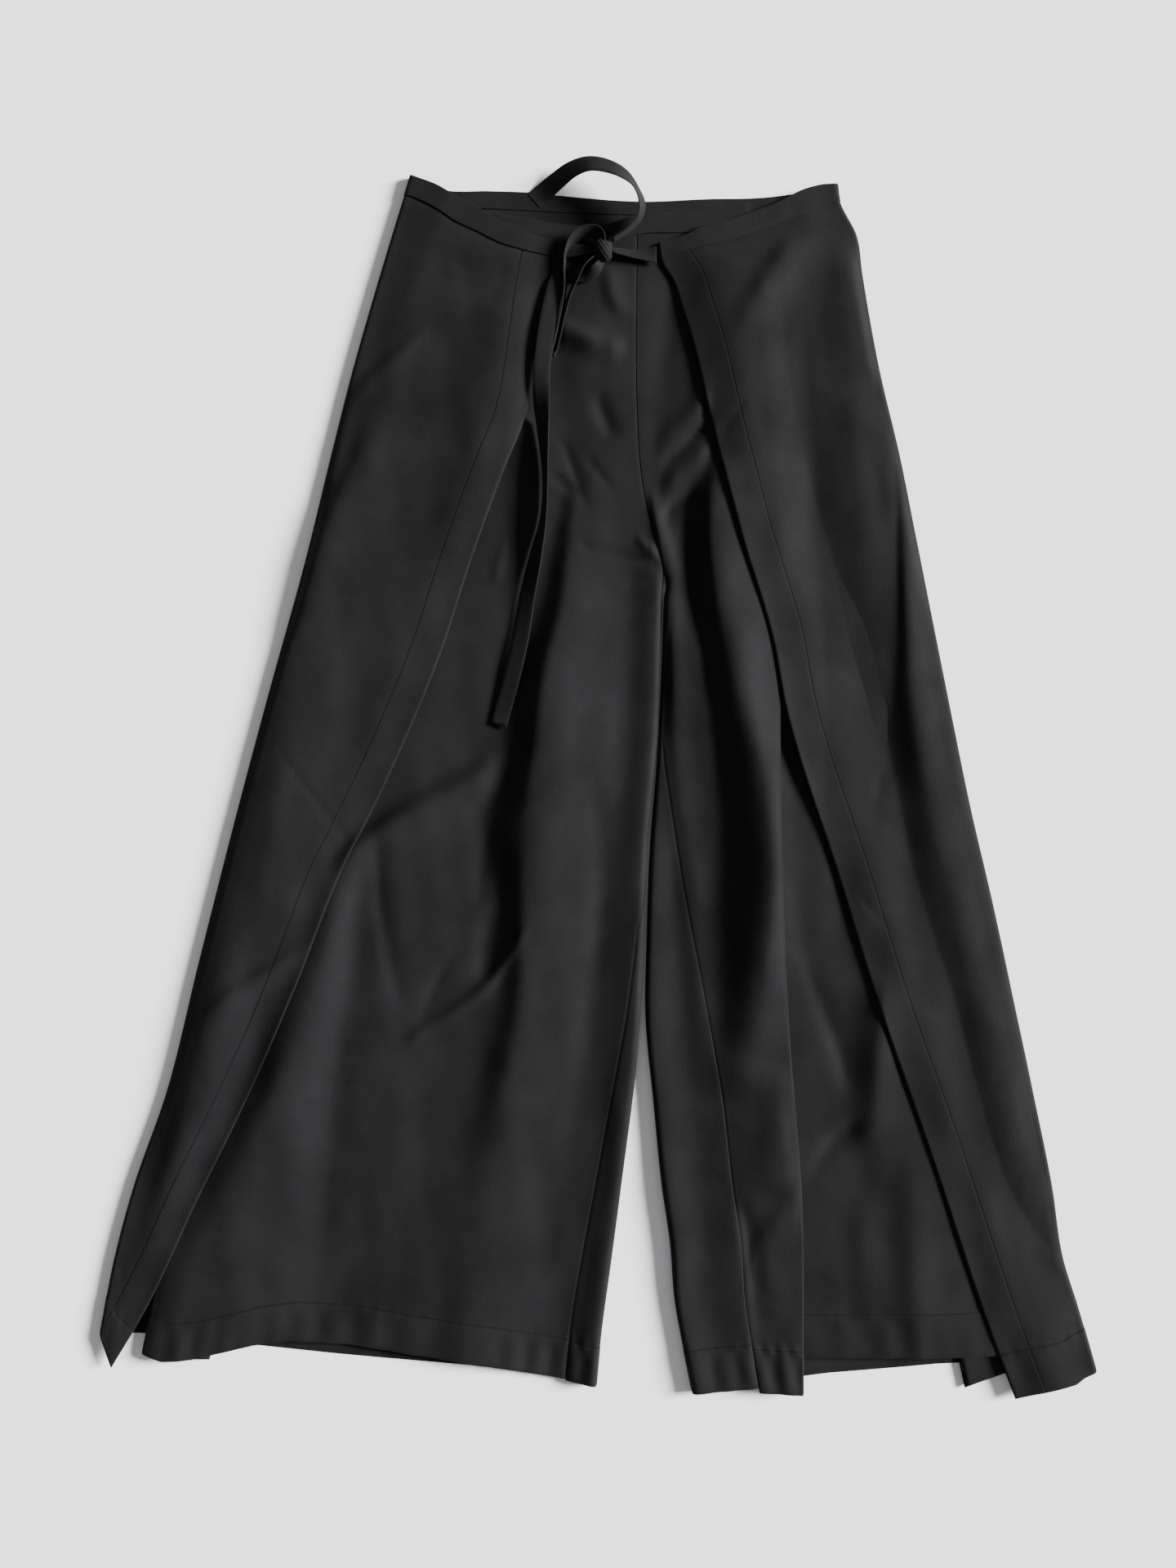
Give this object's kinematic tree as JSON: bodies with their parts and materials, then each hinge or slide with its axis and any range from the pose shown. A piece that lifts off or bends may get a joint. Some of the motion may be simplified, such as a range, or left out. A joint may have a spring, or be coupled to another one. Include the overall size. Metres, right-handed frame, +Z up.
{
  "type": "wrap pants",
  "caption": "Wide-leg wrap pants laid flat with the front up, slanted overlapping front panels, narrow waistband and ties in a bow knot.",
  "frame": {"origin": "centre of the bounding box at its bottom, on the surface that the garment lies on", "axes": "+Y from the hems to the waist, +Z up from the surface through the front of the garment, +X towards the wearer's left leg"},
  "size_m": [0.852, 1.0628, 0.0311],
  "materials": {
    "black_cloth": "matt woven",
    "band_cloth": "matt woven",
    "tie_cloth": "matt woven"
  },
  "bodies": {
    "root": {"back_right_leg": "black_cloth", "back_left_leg": "black_cloth", "front_right_leg": "black_cloth", "front_left_leg": "black_cloth", "outer_waistband": "band_cloth", "inner_waistband": "band_cloth", "right_tie": "tie_cloth", "left_tie": "tie_cloth", "knot": "tie_cloth", "bow_loop": "tie_cloth", "tie_tail": "tie_cloth", "back_strap": "tie_cloth"}
  },
  "joints": []
}
